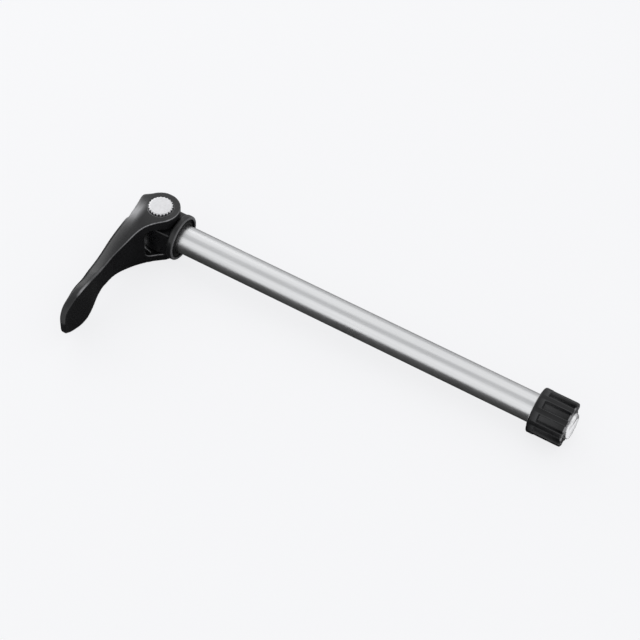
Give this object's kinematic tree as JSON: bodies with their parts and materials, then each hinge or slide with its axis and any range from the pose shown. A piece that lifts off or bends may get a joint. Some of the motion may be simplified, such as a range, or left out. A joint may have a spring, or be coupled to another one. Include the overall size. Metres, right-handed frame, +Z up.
{
  "type": "thru axle",
  "caption": "Bicycle rear thru axle: a smooth round shaft with an enclosed cam, collar and long paddle lever at one end and a fluted screw-on nut at the other.",
  "frame": {"origin": "on the shaft's axis, in the plane of the collar's clamp face", "axes": "+X along the shaft from the lever to the nut, +Y across the shaft away from the closed lever's tip, +Z up along the cam pin towards its serrated head"},
  "size_m": [0.2003, 0.0748, 0.0248],
  "materials": {
    "satin_shaft": "satin, natural",
    "black_forging": "forged and anodised black, semi-gloss",
    "black_turned": "turned and anodised black, semi-gloss",
    "bright_steel": "turned, plated",
    "black_polymer": "moulded, dry-running",
    "dust_rubber": "matt",
    "lock_nylon": "matt, natural"
  },
  "bodies": {
    "axle": {"axle_shaft": "satin_shaft"},
    "housing": {"cam_housing": "black_turned", "upper_cam_bush": "black_polymer", "lower_cam_bush": "black_polymer", "dust_ring": "dust_rubber"},
    "lever": {"cam_lever": "black_forging", "cam_pin": "bright_steel", "pin_washer": "bright_steel", "pin_clip": "bright_steel"},
    "nut_face": {"nut_washer": "bright_steel"},
    "nut": {"axle_nut": "black_turned", "nut_lock_ring": "lock_nylon"}
  },
  "joints": [
    {"name": "housing_slide", "type": "slide", "parent": "axle", "child": "housing", "axis": [-1, 0, 0], "range_m": [0, 0.0018]},
    {"name": "lever_swing", "type": "hinge", "parent": "housing", "child": "lever", "pos_m": [-0.01105, 0, 0], "axis": [0, 0, -1], "range_deg": [0, 170]},
    {"name": "nut_advance", "type": "slide", "parent": "axle", "child": "nut_face", "axis": [1, 0, 0], "range_m": [0, 0.0105]},
    {"name": "nut_turn", "type": "hinge", "parent": "nut_face", "child": "nut", "pos_m": [0.1603, 0, 0], "axis": [1, 0, 0], "range_deg": [0, 2520]}
  ],
  "couplings": [
    {"joint": "housing_slide", "follows": "lever_swing", "m_per_rad": 0.00060205},
    {"joint": "nut_advance", "follows": "nut_turn", "m_per_rad": 0.00023873}
  ]
}
